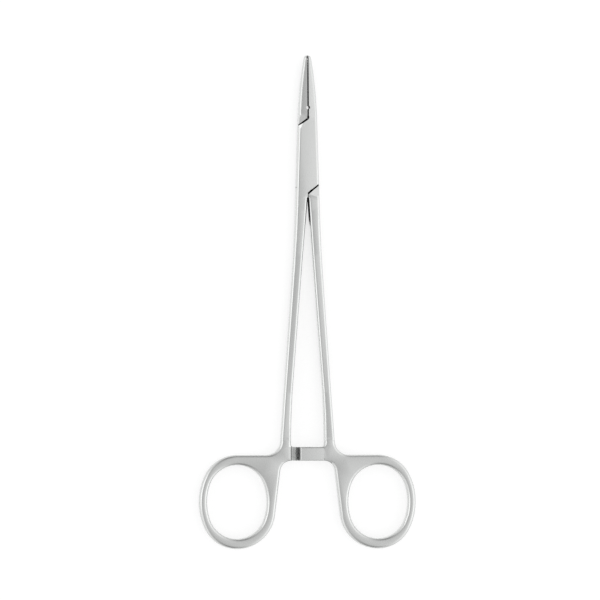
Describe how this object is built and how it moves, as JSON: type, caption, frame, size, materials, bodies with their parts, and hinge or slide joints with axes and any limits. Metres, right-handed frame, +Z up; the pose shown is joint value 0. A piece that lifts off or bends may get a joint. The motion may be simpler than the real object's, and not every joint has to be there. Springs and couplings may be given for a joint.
{
  "type": "needle holder",
  "caption": "Surgical needle holder with slim serrated jaws, a flush-pinned box lock, bowed shanks, finger rings and a ratchet catch, lying closed.",
  "frame": {"origin": "middle of the instrument's footprint, on the surface it lies on", "axes": "+Y from the rings to the jaw tips, +X to the right handle, +Z up through the pin"},
  "size_m": [0.068, 0.1542, 0.0046],
  "materials": {
    "satin_steel": "satin brushed martensitic stainless steel",
    "pin_steel": "stainless pin peened and ground flush"
  },
  "bodies": {
    "box": {"box_half": "satin_steel", "lock_pin": "pin_steel"},
    "tongue": {"tongue_half": "satin_steel"}
  },
  "joints": [
    {"name": "lock_hinge", "type": "hinge", "parent": "box", "child": "tongue", "pos_m": [0, 0.04557, 0.0023], "axis": [0, 0, 1], "range_deg": [0, 30]}
  ]
}
